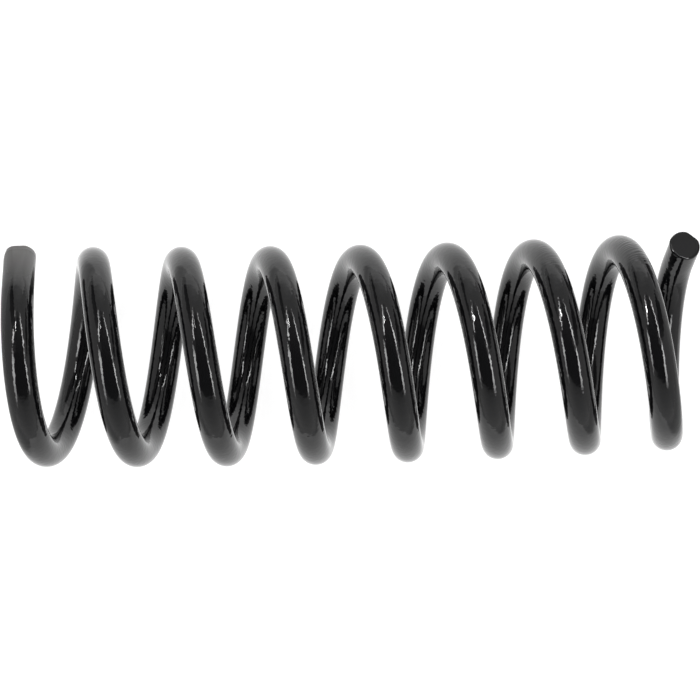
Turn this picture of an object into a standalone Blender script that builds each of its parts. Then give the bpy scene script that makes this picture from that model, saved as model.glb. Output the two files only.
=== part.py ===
# Suspension coil spring: one length of round bar, coiled right-hand and sheared off at both ends.
# It lies on its side along X, as it comes to rest on a bench, with Z up. Metres throughout.
# The coil angle is measured about X from +Y towards +Z, and grows along +X.

import math

import bmesh
import bpy
from mathutils import Matrix, Vector

# Driving sizes
WIRE_DIAMETER = 0.0140
INSIDE_DIAMETER = 0.0695
PITCH = 0.0396

# The coiled length, and the angle at which it begins
FIRST_ANGLE = math.radians(48.9)
COILED_TURNS = 7.79

# The pitch is lower where each end leaves the coil, and eases into the full pitch
LOW_END_PITCH = 0.0185
LOW_EASE_TURNS = 0.56
HIGH_END_PITCH = 0.0317
HIGH_EASE_TURNS = 1.72

# The pitch wanders between the ends, in a long wave and a short one. Each has how far a turn strays,
# a turn where it begins to stray towards the high end, and the turns from one such place to the next
LONG_WANDER = 0.0004
LONG_START = 3.83
LONG_TURNS = 3.6
SHORT_WANDER = 0.0004
SHORT_START = 0.85
SHORT_TURNS = 1.4

# The bar's ends stay straight, because the coiler can't bend the last of it
LOW_TAIL_LENGTH = 0.0213
HIGH_TAIL_LENGTH = 0.0137

# The axis isn't quite straight: a level bow, and a small rise and fall along it
BOW = 0.0027
LIFT = 0.0008
SWAY = 0.0017

# The sheared ends: a cut that leans a little, where plus makes the bar's outer side the longer one,
# a rolled-over rim, and a flat that the shear presses into the bar's side
LOW_CUT_LEAN = math.radians(-5.0)
HIGH_CUT_LEAN = math.radians(7.0)
RIM_ROUND = 0.0009
RIM_STEPS = 2
PRESS_DEPTH = 0.0011
PRESS_LENGTH = 0.0150
LOW_PRESS_ANGLE = math.radians(0.0)
HIGH_PRESS_ANGLE = math.radians(40.0)

# Facets
RINGS_PER_TURN = 30
WIRE_SIDES = 20
PRESS_STEPS = 4

# Finish: gloss black powder coat
COAT_COLOR = (0.010, 0.010, 0.011, 1.0)
COAT_ROUGHNESS = 0.10
RIM_SHARP_ANGLE = math.radians(50.0)

wire_radius = WIRE_DIAMETER / 2
coil_radius = INSIDE_DIAMETER / 2 + wire_radius
turn_length = 2 * math.pi * coil_radius


def eased_turns(turns, ease_turns):
    """Turns' worth of full pitch, where the pitch eases in smoothly over the first ease_turns."""
    share = min(max(turns / ease_turns, 0.0), 1.0)
    if share < 1.0:
        return ease_turns * (share**3 - share**4 / 2)
    return turns - ease_turns / 2


def advance_from_end(turns, end_pitch, ease_turns):
    """How far along X the bar gets in some turns from one end of the coil."""
    return end_pitch * turns + (PITCH - end_pitch) * eased_turns(turns, ease_turns)


low_saved = (PITCH - LOW_END_PITCH) * LOW_EASE_TURNS / 2
high_saved = (PITCH - HIGH_END_PITCH) * HIGH_EASE_TURNS / 2
coil_length = PITCH * COILED_TURNS - low_saved - high_saved


def wander(turns):
    """How far along X the bar strays from an even pitch. Nothing at either end of the coil."""
    long_wave = LONG_WANDER * math.sin(2 * math.pi * (turns - LONG_START) / LONG_TURNS)
    short_wave = SHORT_WANDER * math.sin(2 * math.pi * (turns - SHORT_START) / SHORT_TURNS)
    return (long_wave + short_wave) * math.sin(math.pi * turns / COILED_TURNS)


def coil_advance(turns):
    """Distance along X from the start of the coil."""
    if turns < COILED_TURNS / 2:
        even = advance_from_end(turns, LOW_END_PITCH, LOW_EASE_TURNS)
    else:
        even = coil_length - advance_from_end(COILED_TURNS - turns, HIGH_END_PITCH, HIGH_EASE_TURNS)
    return even + wander(turns)


def on_bent_axis(x, y, z):
    """Moves a point of a straight spring onto the bowed axis, with each turn square to it."""
    place = x / (coil_length / 2) - 1.0
    slope_per_place = 2 / coil_length
    bow_y = BOW * (place**2 - 1)
    bow_z = LIFT * (1 - place**2) - SWAY * math.sin(math.pi * place)
    slope_y = 2 * BOW * place * slope_per_place
    slope_z = -(2 * LIFT * place + SWAY * math.pi * math.cos(math.pi * place)) * slope_per_place
    return Vector((x - slope_y * y - slope_z * z, y + bow_y, z + bow_z))


def wire_centre(along):
    """Centre of the bar at a place along it, in metres from the start of the coil.
    Below zero and past the last turn the bar runs straight on."""
    turns = min(max(along / turn_length, 0.0), COILED_TURNS)
    angle = FIRST_ANGLE + 2 * math.pi * turns
    straight = along - turns * turn_length
    end_pitch = LOW_END_PITCH if straight < 0 else HIGH_END_PITCH
    x = coil_advance(turns) + straight * end_pitch / turn_length
    y = coil_radius * math.cos(angle) - straight * math.sin(angle)
    z = coil_radius * math.sin(angle) + straight * math.cos(angle)
    return on_bent_axis(x, y, z)


def wire_frame(along):
    """Centre, direction along the bar, and the two directions across it: outwards, and along the coil."""
    reach = 0.0001
    centre = wire_centre(along)
    direction = (wire_centre(along + reach) - wire_centre(along - reach)).normalized()
    turns = min(max(along / turn_length, 0.0), COILED_TURNS)
    angle = FIRST_ANGLE + 2 * math.pi * turns
    outwards = Vector((0.0, math.cos(angle), math.sin(angle)))
    outwards = (outwards - direction * outwards.dot(direction)).normalized()
    return centre, direction, outwards, outwards.cross(direction)


def pressed(across_out, across_axial, press_angle, depth):
    """Pushes a point of the bar's outline back onto the flat that the shear left."""
    normal_out = math.cos(press_angle)
    normal_axial = math.sin(press_angle)
    height = across_out * normal_out + across_axial * normal_axial
    excess = max(height - (wire_radius - depth), 0.0)
    return across_out - excess * normal_out, across_axial - excess * normal_axial


def ring_points(along, radius, press_angle=0.0, press_depth=0.0, slant=0.0):
    """One outline of the bar. With no slant it is square to the bar, and slant is how far
    its outline moves along the bar for each metre outwards."""
    centre, direction, outwards, axial = wire_frame(along)
    points = []
    for side in range(WIRE_SIDES):
        angle = 2 * math.pi * side / WIRE_SIDES
        across = pressed(radius * math.cos(angle), radius * math.sin(angle), press_angle, press_depth)
        point = centre + outwards * across[0] + axial * across[1]
        points.append(point + direction * across[0] * slant)
    return points


def end_rings(cut, inward, cut_lean, press_angle):
    """Rings of one end, from its cut face inwards: the rolled rim, then the pressed flat running out.
    The lean of the cut runs out with the flat."""
    rings = []
    for step in range(RIM_STEPS + 1):
        turn = math.pi / 2 * step / RIM_STEPS
        back = RIM_ROUND * (1 - math.cos(turn))
        radius = wire_radius - RIM_ROUND * (1 - math.sin(turn))
        rings.append((back, radius))
    for step in range(1, PRESS_STEPS + 1):
        back = RIM_ROUND + (PRESS_LENGTH - RIM_ROUND) * step / PRESS_STEPS
        rings.append((back, wire_radius))
    outlines = []
    for back, radius in rings:
        remaining = 1 - back / PRESS_LENGTH
        slant = -inward * math.tan(cut_lean) * remaining
        depth = PRESS_DEPTH * remaining
        outlines.append(ring_points(cut + inward * back, radius, press_angle, depth, slant))
    return outlines


def all_rings():
    """Every outline of the bar, from the low cut face to the high one."""
    low_cut = -LOW_TAIL_LENGTH
    high_cut = COILED_TURNS * turn_length + HIGH_TAIL_LENGTH
    low_rings = end_rings(low_cut, 1, LOW_CUT_LEAN, LOW_PRESS_ANGLE)
    high_rings = end_rings(high_cut, -1, HIGH_CUT_LEAN, HIGH_PRESS_ANGLE)
    first = low_cut + PRESS_LENGTH
    last = high_cut - PRESS_LENGTH
    spans = round((last - first) / turn_length * RINGS_PER_TURN)
    between = []
    for step in range(1, spans):
        along = first + (last - first) * step / spans
        between.append(ring_points(along, wire_radius))
    return low_rings + between + high_rings[::-1]


def swept_bar(rings):
    """Closed mesh through the rings, with a flat face on each cut end."""
    mesh = bmesh.new()
    rows = [[mesh.verts.new(point) for point in ring] for ring in rings]
    for row, following in zip(rows, rows[1:]):
        for side in range(WIRE_SIDES):
            after = (side + 1) % WIRE_SIDES
            mesh.faces.new((row[side], row[after], following[after], following[side]))
    mesh.faces.new(rows[0][::-1])
    mesh.faces.new(rows[-1])
    bmesh.ops.recalc_face_normals(mesh, faces=mesh.faces)
    return mesh


def laid_down(mesh):
    """Puts the lowest point on Z = 0 and the middle of the spring's box over the origin."""
    lows = [min(vert.co[axis] for vert in mesh.verts) for axis in range(3)]
    highs = [max(vert.co[axis] for vert in mesh.verts) for axis in range(3)]
    middle = Vector(((lows[0] + highs[0]) / 2, (lows[1] + highs[1]) / 2, lows[2]))
    bmesh.ops.transform(mesh, matrix=Matrix.Translation(-middle), verts=mesh.verts)


def powder_coat():
    """Gloss black powder coat, baked on over the shot-peened steel."""
    material = bpy.data.materials.new("powder_coat")
    material.use_nodes = True
    shader = material.node_tree.nodes["Principled BSDF"]
    shader.inputs["Base Color"].default_value = COAT_COLOR
    shader.inputs["Roughness"].default_value = COAT_ROUGHNESS
    shader.inputs["Metallic"].default_value = 0.0
    material.diffuse_color = COAT_COLOR
    return material


def build_spring():
    mesh = swept_bar(all_rings())
    laid_down(mesh)
    data = bpy.data.meshes.new("coil_spring")
    mesh.to_mesh(data)
    mesh.free()
    data.shade_smooth()
    data.set_sharp_from_angle(angle=RIM_SHARP_ANGLE)
    data.materials.append(powder_coat())
    spring = bpy.data.objects.new("coil_spring", data)
    bpy.context.scene.collection.objects.link(spring)
    return spring


for old in list(bpy.data.objects):
    bpy.data.objects.remove(old)
build_spring()
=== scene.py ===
import math

import bpy
import numpy as np
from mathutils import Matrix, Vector


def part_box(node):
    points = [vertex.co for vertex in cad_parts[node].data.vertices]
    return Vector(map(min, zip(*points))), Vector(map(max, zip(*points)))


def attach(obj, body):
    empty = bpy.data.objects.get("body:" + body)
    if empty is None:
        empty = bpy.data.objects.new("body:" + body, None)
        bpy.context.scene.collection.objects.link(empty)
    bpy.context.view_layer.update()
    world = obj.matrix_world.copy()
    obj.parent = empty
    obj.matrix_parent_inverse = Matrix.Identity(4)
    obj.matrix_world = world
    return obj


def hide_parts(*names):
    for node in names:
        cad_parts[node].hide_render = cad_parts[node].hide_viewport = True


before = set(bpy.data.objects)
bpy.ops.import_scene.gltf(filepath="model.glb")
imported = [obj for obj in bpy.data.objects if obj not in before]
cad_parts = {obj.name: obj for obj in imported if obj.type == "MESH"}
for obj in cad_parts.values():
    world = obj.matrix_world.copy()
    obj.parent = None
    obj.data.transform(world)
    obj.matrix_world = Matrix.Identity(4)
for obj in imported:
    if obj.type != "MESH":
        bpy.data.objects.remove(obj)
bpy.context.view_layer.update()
scene = bpy.context.scene
mm = 0.001
print("frame loaded")


def linearColour(hexColour):
    # sRGB hex, such as "1a1b1c", to the linear values that shaders take
    channels = [int(hexColour[i:i + 2], 16) / 255 for i in (0, 2, 4)]
    linear = [c / 12.92 if c <= 0.04045 else ((c + 0.055) / 1.055) ** 2.4 for c in channels]
    return (*linear, 1.0)


def addNode(tree, kind, links=None, **settings):
    # one node, with its settings, and with what feeds each of its inputs: a socket or a value
    node = tree.nodes.new(kind)
    for name, value in settings.items():
        setattr(node, name, value)
    for name, value in (links or {}).items():
        if isinstance(value, bpy.types.NodeSocket):
            tree.links.new(value, node.inputs[name])
        else:
            node.inputs[name].default_value = value
    return node


def newMaterial(name):
    material = bpy.data.materials.new(name)
    material.use_nodes = True
    return material, material.node_tree, material.node_tree.nodes["Principled BSDF"]


# the coiled bar, in metres, turns and degrees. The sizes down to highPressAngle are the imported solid's,
# and the small forms after them are only here
springBar = {
    "barDiameter": 0.0140,
    "insideDiameter": 0.0695,
    "pitch": 0.0396,
    "firstAngle": 48.9,
    "coiledTurns": 7.79,
    "lowEndPitch": 0.0185,
    "lowEaseTurns": 0.56,
    "highEndPitch": 0.0317,
    "highEaseTurns": 1.72,
    "longWander": 0.0004,
    "longStart": 3.83,
    "longTurns": 3.6,
    "shortWander": 0.0004,
    "shortStart": 0.85,
    "shortTurns": 1.4,
    "lowTail": 0.0213,
    "highTail": 0.0137,
    "bow": 0.0027,
    "lift": 0.0008,
    "sway": 0.0017,
    "rimRound": 0.0009,
    "pressDepth": 0.0011,
    "pressLength": 0.0150,
    "lowCutLean": -5.0,
    "highCutLean": 7.0,
    "lowPressAngle": 0.0,
    "highPressAngle": 40.0,
    "chamferDepth": 0.0027,
    "chamferLength": 0.0044,
    "chamferAngle": -100.0,
    "burrHeight": 0.0005,
    "burrLength": 0.0010,
    "burrAngle": -75.0,
    "burrHalfWidth": 22.0,
    # how far from the low cut the coat turns rougher and a grey painted sheen lightens it
    "dullAndSheenLength": 0.026,
    "sides": 56,
    "ringSpacing": 0.0014,
    "rimSteps": 6,
    "lowCutRings": (11, 0.0004),
    "highCutRings": (7, 0.0003),
    "sharpAngle": 50.0,
}

# wrinkles of the coat. A place is a turn, how far it reaches either way in turns, and the wave's height
# in metres, and the rest shape the waves: lengths are metres, twist and phases are radians
coatWrinkles = {
    "places": ((6.953, 0.050, 0.00006), (5.962, 0.040, 0.00003), (7.328, 0.026, 0.00003)),
    "pitch": 0.0016,
    "twist": 6.4,
    "twistPhase": -0.6,
    "waver": 1.7,
    "waverLength": 0.0071,
    "patchLevel": 0.25,
    "patchPhase": 0.9,
    "sunk": 0.6,
    "ringsPerWave": 5,
}


def turnLengthOf(p):
    return math.pi * (p["insideDiameter"] + p["barDiameter"])


def easedTurns(turns, easeTurns):
    # turns' worth of full pitch, where the pitch eases in over the first easeTurns
    share = np.clip(turns / easeTurns, 0, 1)
    return np.where(share < 1, easeTurns * (share**3 - share**4 / 2), turns - easeTurns / 2)


def barCentres(along, p):
    # centre of the bar at places along it, in metres from where the coiling starts
    coilRadius = (p["insideDiameter"] + p["barDiameter"]) / 2
    turnLength = turnLengthOf(p)
    turns = np.clip(along / turnLength, 0, p["coiledTurns"])
    angle = np.radians(p["firstAngle"]) + 2 * math.pi * turns
    straight = along - turns * turnLength

    lowLack = p["pitch"] - p["lowEndPitch"]
    highLack = p["pitch"] - p["highEndPitch"]
    saved = (lowLack * p["lowEaseTurns"] + highLack * p["highEaseTurns"]) / 2
    coilLength = p["pitch"] * p["coiledTurns"] - saved
    left = p["coiledTurns"] - turns
    fromLow = p["lowEndPitch"] * turns + lowLack * easedTurns(turns, p["lowEaseTurns"])
    fromHigh = p["highEndPitch"] * left + highLack * easedTurns(left, p["highEaseTurns"])
    x = np.where(turns < left, fromLow, coilLength - fromHigh)

    # the pitch wanders between the ends in a long wave and a short one, as the coiler's feed does
    longWave = p["longWander"] * np.sin(2 * math.pi * (turns - p["longStart"]) / p["longTurns"])
    shortWave = p["shortWander"] * np.sin(2 * math.pi * (turns - p["shortStart"]) / p["shortTurns"])
    x += (longWave + shortWave) * np.sin(math.pi * turns / p["coiledTurns"])
    x += straight * np.where(straight < 0, p["lowEndPitch"], p["highEndPitch"]) / turnLength
    y = coilRadius * np.cos(angle) - straight * np.sin(angle)
    z = coilRadius * np.sin(angle) + straight * np.cos(angle)

    # the axis has a level bow, and a small rise and fall
    place = x / (coilLength / 2) - 1
    slopeY = 4 * p["bow"] * place / coilLength
    slopeZ = -2 * (2 * p["lift"] * place + p["sway"] * math.pi * np.cos(math.pi * place)) / coilLength
    bowY = p["bow"] * (place**2 - 1)
    bowZ = p["lift"] * (1 - place**2) - p["sway"] * np.sin(math.pi * place)
    return np.stack([x - slopeY * y - slopeZ * z, y + bowY, z + bowZ], -1), angle


def barFrames(along, p):
    # centres, with the directions along the bar, outwards from the coil and along the coil
    reach = 0.0001
    centres, angle = barCentres(along, p)
    direction = barCentres(along + reach, p)[0] - barCentres(along - reach, p)[0]
    direction /= np.linalg.norm(direction, axis=1)[:, None]
    outwards = np.stack([0 * angle, np.cos(angle), np.sin(angle)], -1)
    outwards -= direction * (outwards * direction).sum(1)[:, None]
    outwards /= np.linalg.norm(outwards, axis=1)[:, None]
    return centres, direction, outwards, np.cross(outwards, direction)


def ringPlaces(p, wrinkles):
    # places of the rings along the bar and the bar's radius at each, with where the two cuts are
    turnLength = turnLengthOf(p)
    low = -p["lowTail"]
    high = p["coiledTurns"] * turnLength + p["highTail"]
    first = low + p["rimRound"]
    last = high - p["rimRound"]
    rimTurns = np.linspace(0, math.pi / 2, p["rimSteps"] + 1)
    rimBack = p["rimRound"] * (1 - np.cos(rimTurns))
    rimRadius = p["barDiameter"] / 2 - p["rimRound"] * (1 - np.sin(rimTurns))
    spans = round((last - first) / p["ringSpacing"])

    # more rings near the cuts and where the coat is wrinkled, so that those small forms show
    lowCount, lowSpacing = p["lowCutRings"]
    highCount, highSpacing = p["highCutRings"]
    between = [
        np.linspace(first, last, spans + 1)[1:-1],
        first + np.arange(1, lowCount + 1) * lowSpacing,
        last - np.arange(1, highCount + 1) * highSpacing,
    ]
    waveStep = wrinkles["pitch"] / wrinkles["ringsPerWave"] / turnLength
    for turn, reach, _ in wrinkles["places"]:
        between.append((turn + np.arange(-reach, reach, waveStep)) * turnLength)
    between = np.unique(np.concatenate(between))

    along = np.concatenate([low + rimBack, between, high - rimBack[::-1]])
    radius = np.concatenate([rimRadius, np.full(len(between), p["barDiameter"] / 2), rimRadius[::-1]])
    return along, radius, low, high


def wrinkleHeights(along, sideAngles, p, wrinkles):
    # fine waves across the bar, where the melted coat slipped a little before it set
    heights = np.zeros((len(along), len(sideAngles)))
    waver = wrinkles["waver"] * np.sin(2 * math.pi * along / wrinkles["waverLength"])
    waves = 2 * math.pi * along / wrinkles["pitch"] + waver
    phase = waves[:, None] + wrinkles["twist"] * np.sin(sideAngles + wrinkles["twistPhase"])
    lobes = (np.sin(2 * sideAngles + wrinkles["patchPhase"]) + np.cos(sideAngles)) / 2
    patch = np.clip(wrinkles["patchLevel"] + lobes, 0, 1)
    for turn, reach, height in wrinkles["places"]:
        share = np.clip(1 - ((along / turnLengthOf(p) - turn) / reach) ** 2, 0, 1)
        heights += height * share[:, None] * patch * (np.sin(phase) - wrinkles["sunk"])
    return heights


def burrHeights(along, high, sideAngles, p):
    # the burr that the shear leaves on the high rim
    fromBurr = (sideAngles - math.radians(p["burrAngle"]) + math.pi) % (2 * math.pi) - math.pi
    across = np.clip(1 - (fromBurr / math.radians(p["burrHalfWidth"])) ** 2, 0, 1)
    lengthwise = np.clip(1 - (high - along) / p["burrLength"], 0, 1)
    return p["burrHeight"] * lengthwise[:, None] * across


def barMesh(name, p, wrinkles):
    along, radius, low, high = ringPlaces(p, wrinkles)
    centres, direction, outwards, axial = barFrames(along, p)
    rings, sides = len(along), p["sides"]
    sideAngles = 2 * math.pi * np.arange(sides) / sides
    surface = radius[:, None] + wrinkleHeights(along, sideAngles, p, wrinkles)
    surface += burrHeights(along, high, sideAngles, p)
    out = surface * np.cos(sideAngles)
    side = surface * np.sin(sideAngles)

    # the lean of each cut, the flats that the shear presses, and the low end's chamfer, all of which
    # run out along the bar
    slant = np.zeros(rings)
    flats = (
        (along - low, -p["lowCutLean"], p["lowPressAngle"], p["pressDepth"], p["pressLength"]),
        (along - low, 0.0, p["chamferAngle"], p["chamferDepth"], p["chamferLength"]),
        (high - along, p["highCutLean"], p["highPressAngle"], p["pressDepth"], p["pressLength"]),
    )
    clear = p["barDiameter"]
    for back, lean, flatAngle, depth, length in flats:
        share = np.clip(1 - back / length, 0, 1)
        slant += math.tan(math.radians(lean)) * share
        normalOut = math.cos(math.radians(flatAngle))
        normalSide = math.sin(math.radians(flatAngle))
        limit = np.where(share > 0, p["barDiameter"] / 2 - depth * share, clear)[:, None]
        excess = np.clip(out * normalOut + side * normalSide - limit, 0, None)
        out = out - excess * normalOut
        side = side - excess * normalSide

    points = centres[:, None] + out[..., None] * outwards[:, None] + side[..., None] * axial[:, None]
    points += (out * slant[:, None])[..., None] * direction[:, None]
    ring, spot = np.meshgrid(np.arange(rings - 1) * sides, np.arange(sides), indexing="ij")
    nextSpot = (spot + 1) % sides
    quads = np.stack([ring + spot, ring + sides + spot, ring + sides + nextSpot, ring + nextSpot], -1)
    faces = quads.reshape(-1, 4).tolist()
    faces.append(list(range(sides)))
    faces.append(list(range((rings - 1) * sides, rings * sides))[::-1])
    mesh = bpy.data.meshes.new(name)
    mesh.from_pydata(points.reshape(-1, 3).tolist(), [], faces)
    mesh.validate()
    mesh.shade_smooth()
    mesh.set_sharp_from_angle(angle=math.radians(p["sharpAngle"]))

    # how dull the coat is at each point, and how much painted sheen lightens it: both rise towards the low
    # end
    dullnessAndSheen = np.clip(1 - (along - low) / p["dullAndSheenLength"], 0, 1)
    mesh.attributes.new("dullnessAndSheen", "FLOAT", "POINT").data.foreach_set("value", np.repeat(dullnessAndSheen, sides))
    return mesh


def layInPlace(mesh, node):
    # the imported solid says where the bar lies: the middle of its box, and its lowest point
    low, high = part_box(node)
    points = np.array([v.co for v in mesh.vertices])
    middle = (points.min(0) + points.max(0)) / 2
    shift = Vector((
        (low[0] + high[0]) / 2 - middle[0], (low[1] + high[1]) / 2 - middle[1], low[2] - points[:, 2].min(),
    ))
    for vertex in mesh.vertices:
        vertex.co += shift


# the coat's looks. Orange peel repeats about every 2 mm, and stands well under a tenth of a mm high
coat = {
    "colour": "040405",
    "roughness": 0.035,
    "refraction": 1.5,
    # the grey mixed in towards the low end is painted sheen that lightens it
    "paintedSheenColour": "545352",
    "dullRoughness": 0.30,
    "peelSpacing": 2.0 * mm,
    "peelHeight": 0.085 * mm,
    "peelDetail": 1.5,
}


def powderCoat():
    # polyester powder coat, electrostatically sprayed and baked: a deep gloss black with orange peel,
    # which makes the lamps' reflections ragged. Towards the low end it turns rougher, and a grey painted
    # sheen lightens it
    material, tree, shader = newMaterial("powderCoatGlossBlack")
    dullnessAndSheen = addNode(tree, "ShaderNodeAttribute", attribute_name="dullnessAndSheen").outputs["Fac"]
    colour = addNode(tree, "ShaderNodeMix", {
        "Factor": dullnessAndSheen, "A": linearColour(coat["colour"]), "B": linearColour(coat["paintedSheenColour"]),
    }, data_type="RGBA")
    roughness = addNode(tree, "ShaderNodeMapRange", {
        "Value": dullnessAndSheen, "To Min": coat["roughness"], "To Max": coat["dullRoughness"],
    })
    place = addNode(tree, "ShaderNodeTexCoord").outputs["Object"]
    peel = addNode(tree, "ShaderNodeTexNoise", {
        "Vector": place, "Scale": 1 / coat["peelSpacing"], "Detail": coat["peelDetail"],
    })
    bump = addNode(tree, "ShaderNodeBump", {
        "Height": peel.outputs["Fac"], "Distance": coat["peelHeight"], "Strength": 1.0,
    })
    tree.links.new(colour.outputs["Result"], shader.inputs["Base Color"])
    tree.links.new(roughness.outputs["Result"], shader.inputs["Roughness"])
    tree.links.new(bump.outputs["Normal"], shader.inputs["Normal"])
    shader.inputs["Metallic"].default_value = 0.0
    shader.inputs["IOR"].default_value = coat["refraction"]
    return material


mesh = barMesh("coiledBar", springBar, coatWrinkles)
layInPlace(mesh, "coil_spring")
mesh.materials.append(powderCoat())
bar = bpy.data.objects.new("coiledBar", mesh)
scene.collection.objects.link(bar)
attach(bar, "root")
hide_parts("coil_spring")
print("bar made:", len(mesh.polygons), "faces")


# the camera looks down on the spring from about a metre
camera = {
    "place": (-0.0444, -0.0691, 1.0889),
    "turn": (3.869, -2.083, -1.606),
    "focalPixels": 2340.1,
    "imagePixels": 700,
}
cameraData = bpy.data.cameras.new("camera")
cameraData.lens = camera["focalPixels"] / camera["imagePixels"] * cameraData.sensor_width
cameraObject = bpy.data.objects.new("camera", cameraData)
cameraObject.location = camera["place"]
cameraObject.rotation_euler = [math.radians(a) for a in camera["turn"]]
scene.collection.objects.link(cameraObject)
scene.camera = cameraObject
scene.view_settings.view_transform = "Standard"

# the table, in metres from its middle. Its middle glows most, and a band along it adds to that behind
# the spring, far in front and far behind: the y where the band begins, the y where it is full, and how
# much it adds. The middle looks a little brighter than paper white
table = {
    "size": 8.0,
    "colour": "808080",
    "roughness": 0.6,
    "glowSides": 0.30,
    "glowMiddle": 0.61,
    "middleAt": 0.008,
    "middleHalfWidth": 0.168,
    "sidesFrom": 0.215,
    "bands": ((0.02, 0.16, 0.19), (-0.30, -0.50, 0.25), (0.40, 0.70, 0.30)),
}


def tableTop():
    # cast opal acrylic, sanded to a satin face. Its glow is painted light, most along its middle: a painted
    # pool of the tent's light that also washes out the spring's shadows. It mirrors nothing
    material, tree, shader = newMaterial("opalTablePaintedGlow")
    shader.inputs["Base Color"].default_value = linearColour(table["colour"])
    shader.inputs["Roughness"].default_value = table["roughness"]
    shader.inputs["Specular IOR Level"].default_value = 0.0
    shader.inputs["Emission Color"].default_value = linearColour("ffffff")
    place = addNode(tree, "ShaderNodeTexCoord").outputs["Object"]
    parts = addNode(tree, "ShaderNodeSeparateXYZ", {"Vector": place}).outputs
    fromMiddle = addNode(tree, "ShaderNodeMath", {
        0: parts["X"], 1: table["middleAt"],
    }, operation="SUBTRACT")
    sideways = addNode(tree, "ShaderNodeMath", {0: fromMiddle.outputs["Value"]}, operation="ABSOLUTE")
    glow = addNode(tree, "ShaderNodeMapRange", {
        "Value": sideways.outputs["Value"],
        "From Min": table["sidesFrom"], "From Max": table["middleHalfWidth"],
        "To Min": table["glowSides"], "To Max": table["glowSides"] + table["glowMiddle"],
    }, interpolation_type="SMOOTHSTEP").outputs["Result"]
    for start, full, added in table["bands"]:
        band = addNode(tree, "ShaderNodeMapRange", {
            "Value": parts["Y"], "From Min": start, "From Max": full, "To Max": added,
        }, interpolation_type="SMOOTHSTEP").outputs["Result"]
        glow = addNode(tree, "ShaderNodeMath", {0: glow, 1: band}, operation="ADD").outputs["Value"]
    tree.links.new(glow, shader.inputs["Emission Strength"])
    mesh = bpy.data.meshes.new("tableTop")
    half = table["size"] / 2
    corners = [(-half, -half, 0), (half, -half, 0), (half, half, 0), (-half, half, 0)]
    mesh.from_pydata(corners, [], [(0, 1, 2, 3)])
    mesh.materials.append(material)
    top = bpy.data.objects.new("tableTop", mesh)
    scene.collection.objects.link(top)


tableTop()

# the tent round the table: white cloth, with a dark opening for the camera in its top, lamps shining
# through the cloth on both sides of it, and dark flaps beyond them. Each card is a few rows across it,
# and a row is y, z, x of its left and right end in mm, and the light at those two ends
tent = {
    "clothLight": 0.66,
    "cards": {
        "opening": [
            (340, 440, -45, 30, 0.40, 0.40),
            (200, 440, -50, 60, 0.28, 0.28),
            (80, 440, -190, 130, 0.18, 0.18),
            (-20, 440, -305, 195, 0.11, 0.12),
            (-220, 440, -370, 240, 0.09, 0.11),
            (-370, 440, -450, 300, 0.11, 0.13),
        ],
        "sillLeft": [
            (-370, 440, -410, -60, 0.26, 0.22),
            (-430, 440, -430, -60, 0.50, 0.42),
            (-650, 440, -800, -60, 0.70, 0.58),
            (-900, 440, -1100, -60, 0.72, 0.62),
            (-900, 0, -1100, -60, 0.90, 0.85),
        ],
        "sillRight": [
            (-370, 440, -60, 300, 0.22, 0.26),
            (-430, 440, -60, 330, 0.42, 0.50),
            (-650, 440, -60, 700, 0.58, 0.70),
            (-900, 440, -60, 1000, 0.62, 0.72),
            (-900, 0, -60, 1000, 0.85, 0.90),
        ],
        "crossBar": [
            (65, 438, -400, -190, 0.40, 0.30),
            (-15, 438, -420, -275, 0.40, 0.30),
        ],
        "openingTop": [
            (900, 900, -90, 10, 0.50, 0.50),
            (760, 900, -120, 50, 0.32, 0.32),
            (640, 900, -150, 80, 0.20, 0.20),
            (480, 900, -190, 190, 0.18, 0.18),
            (320, 900, -300, 230, 0.16, 0.16),
            (150, 900, -420, 300, 0.15, 0.15),
        ],
        "upperLeftSkirt": [
            (700, 1030, -385, -290, 0.30, 0.30),
            (130, 822, -500, -320, 0.16, 0.16),
        ],
        "upperRightSkirt": [
            (650, 815, 110, 215, 0.25, 0.25),
            (50, 532, 150, 280, 0.12, 0.12),
        ],
        "lowerRightSkirt": [
            (-45, 525, 200, 315, 0.10, 0.10),
            (-215, 304, 130, 240, 0.10, 0.10),
        ],
        "rightFlap": [
            (15, 310, 230, 320, 0.25, 0.25),
            (65, 310, 240, 450, 0.13, 0.25),
            (110, 310, 265, 520, 0.11, 0.15),
            (165, 310, 310, 620, 0.10, 0.12),
            (215, 310, 350, 740, 0.09, 0.14),
            (265, 310, 385, 900, 0.08, 0.14),
            (365, 310, 465, 1000, 0.10, 0.12),
            (615, 310, 740, 1400, 0.10, 0.12),
            (900, 310, 1050, 1800, 0.10, 0.12),
        ],
        "tableEdge": [
            (105, 2, 225, 240, 0.20, 0.20),
            (180, 2, 235, 320, 0.12, 0.12),
            (260, 2, 270, 440, 0.10, 0.10),
            (360, 2, 350, 610, 0.10, 0.10),
            (540, 2, 560, 900, 0.10, 0.10),
            (720, 2, 750, 1150, 0.10, 0.10),
        ],
        "leftFlap": [
            (110, 310, -280, -225, 0.40, 0.40),
            (160, 310, -330, -195, 0.25, 0.22),
            (210, 310, -370, -200, 0.22, 0.16),
            (330, 310, -470, -255, 0.22, 0.12),
            (450, 310, -560, -295, 0.22, 0.10),
            (570, 310, -660, -350, 0.20, 0.08),
            (870, 310, -820, -470, 0.18, 0.08),
            (1666, 310, -1250, -950, 0.14, 0.10),
        ],
        "upperClothLeft": [
            (460, 441, -400, 50, 0.60, 0.64),
            (850, 441, -450, 50, 0.62, 0.90),
            (1500, 441, -600, 50, 0.80, 1.05),
        ],
        "upperClothRight": [
            (460, 441, 50, 400, 0.64, 0.62),
            (850, 441, 50, 500, 0.90, 0.64),
            (1500, 441, 50, 700, 1.05, 0.85),
        ],
        "backWall": [
            (1600, 0, -700, 1100, 1.35, 1.60),
            (1600, 560, -700, 900, 1.05, 1.25),
        ],
    },
}

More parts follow.
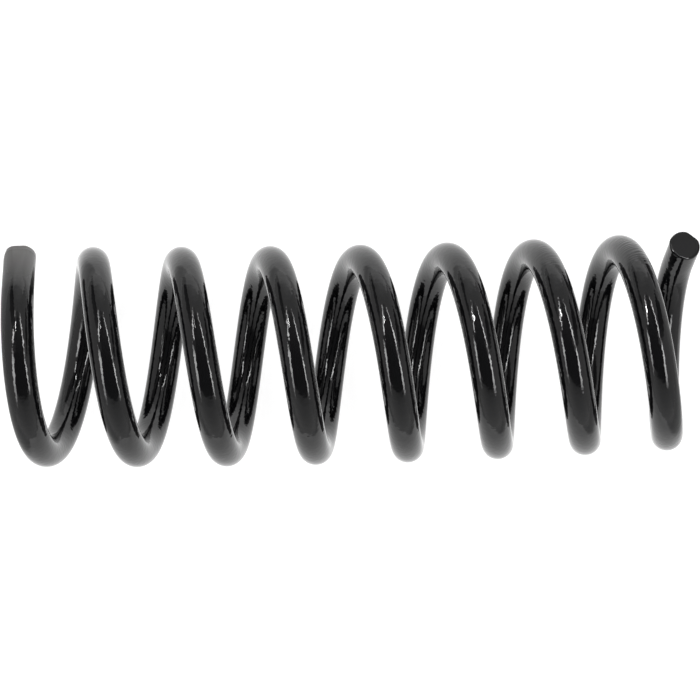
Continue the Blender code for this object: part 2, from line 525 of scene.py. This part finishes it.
# the strip lights, four long straight tubes round the opening: the x, y and z of both ends and the
# diameter, in mm, and the light at a few y along the tube, which falls away towards the ends
stripLights = {
    "sides": 8,
    "tubes": {
        "upperLeftStrip": {
            "ends": ((-561, 80, 802), (-360, 1040, 1152)),
            "diameter": 100,
            "light": (
                (80, 2.5), (130, 6.5), (180, 12.0), (400, 12.5), (600, 11.0), (800, 6.5), (1040, 4.0),
            ),
        },
        "lowerLeftStrip": {
            "ends": ((-370, 20, 453), (-538, -520, 353)),
            "diameter": 110,
            "light": (
                (20, 2.0), (-20, 5.6), (-60, 8.4), (-140, 8.2), (-220, 6.2), (-260, 4.8), (-340, 4.2),
                (-420, 1.9), (-520, 0.9),
            ),
        },
        "upperRightStrip": {
            "ends": ((316, -10, 502), (231, 775, 874)),
            "diameter": 60,
            "light": (
                (-10, 2.0), (30, 6.5), (100, 13.0), (325, 12.0), (475, 9.5), (625, 8.0), (775, 2.5),
            ),
        },
        "lowerRightStrip": {
            "ends": ((371, -10, 569), (270, -240, 269)),
            "diameter": 70,
            "light": (
                (-10, 1.0), (-40, 4.5), (-65, 11.0), (-100, 11.5), (-150, 10.2), (-200, 7.3), (-225, 5.0),
                (-240, 1.8),
            ),
        },
    },
}


def glowingMesh(name, points, faces, levels):
    # lit cloth or a lamp's diffuser: its glow runs evenly from corner to corner, and it is seen only
    # in reflections and as light. Points are in mm
    material, tree, _ = newMaterial(name)
    tree.nodes.clear()
    light = addNode(tree, "ShaderNodeAttribute", attribute_name="light").outputs["Fac"]
    glow = addNode(tree, "ShaderNodeEmission", {"Color": linearColour("ffffff"), "Strength": light})
    addNode(tree, "ShaderNodeOutputMaterial", {"Surface": glow.outputs["Emission"]})
    mesh = bpy.data.meshes.new(name)
    mesh.from_pydata([[mm * value for value in point] for point in points], [], faces)
    mesh.attributes.new("light", "FLOAT", "POINT").data.foreach_set("value", levels)
    mesh.materials.append(material)
    made = bpy.data.objects.new(name, mesh)
    made.visible_camera = False
    made.visible_shadow = False
    scene.collection.objects.link(made)


def clothCard(name, rows):
    points, levels = [], []
    for y, z, left, right, leftLight, rightLight in rows:
        points += [(left, y, z), (right, y, z)]
        levels += [leftLight, rightLight]
    faces = [(i, i + 1, i + 3, i + 2) for i in range(0, len(points) - 2, 2)]
    glowingMesh(name, points, faces, levels)


def stripLight(name, tube, sides):
    start, end = [Vector(place) for place in tube["ends"]]
    along = end - start
    across = along.cross(Vector((0, 0, 1))).normalized()
    upwards = across.cross(along).normalized()
    points, levels, faces = [], [], []
    for y, light in tube["light"]:
        centre = start + along * (y - start.y) / along.y
        for side in range(sides):
            angle = 2 * math.pi * side / sides
            offset = (across * math.cos(angle) + upwards * math.sin(angle)) * tube["diameter"] / 2
            points.append(centre + offset)
            levels.append(light)
    for ring in range(len(tube["light"]) - 1):
        for side in range(sides):
            first, second = ring * sides + side, ring * sides + (side + 1) % sides
            faces.append((first, second, second + sides, first + sides))
    glowingMesh(name, points, faces, levels)


for name, rows in tent["cards"].items():
    clothCard(name, rows)
for name, tube in stripLights["tubes"].items():
    stripLight(name, tube, stripLights["sides"])

# one bare lamp behind the cloth, in mm: a reflector turned to the right, so the left turns see it edge-on
bareLamp = {
    "place": (-209, 317, 667),
    "edgeOnFrom": (-84, 0, 95),
    "depth": 200,
    "height": 70,
    "light": 85.0,
}
place = Vector(bareLamp["place"])
inwards = (place - Vector(bareLamp["edgeOnFrom"])).normalized() * bareLamp["depth"] / 2
upwards = Vector((0, -inwards.z, inwards.y)).normalized() * bareLamp["height"] / 2
corners = [
    place + inwards + upwards,
    place - inwards + upwards,
    place - inwards - upwards,
    place + inwards - upwards,
]
glowingMesh("bareLamp", corners, [(0, 1, 2, 3)], [bareLamp["light"]] * len(corners))

world = bpy.data.worlds.new("tentCloth")
world.use_nodes = True
background = world.node_tree.nodes["Background"]
background.inputs["Color"].default_value = linearColour("ffffff")
background.inputs["Strength"].default_value = tent["clothLight"]
scene.world = world
print("camera, table and tent made")
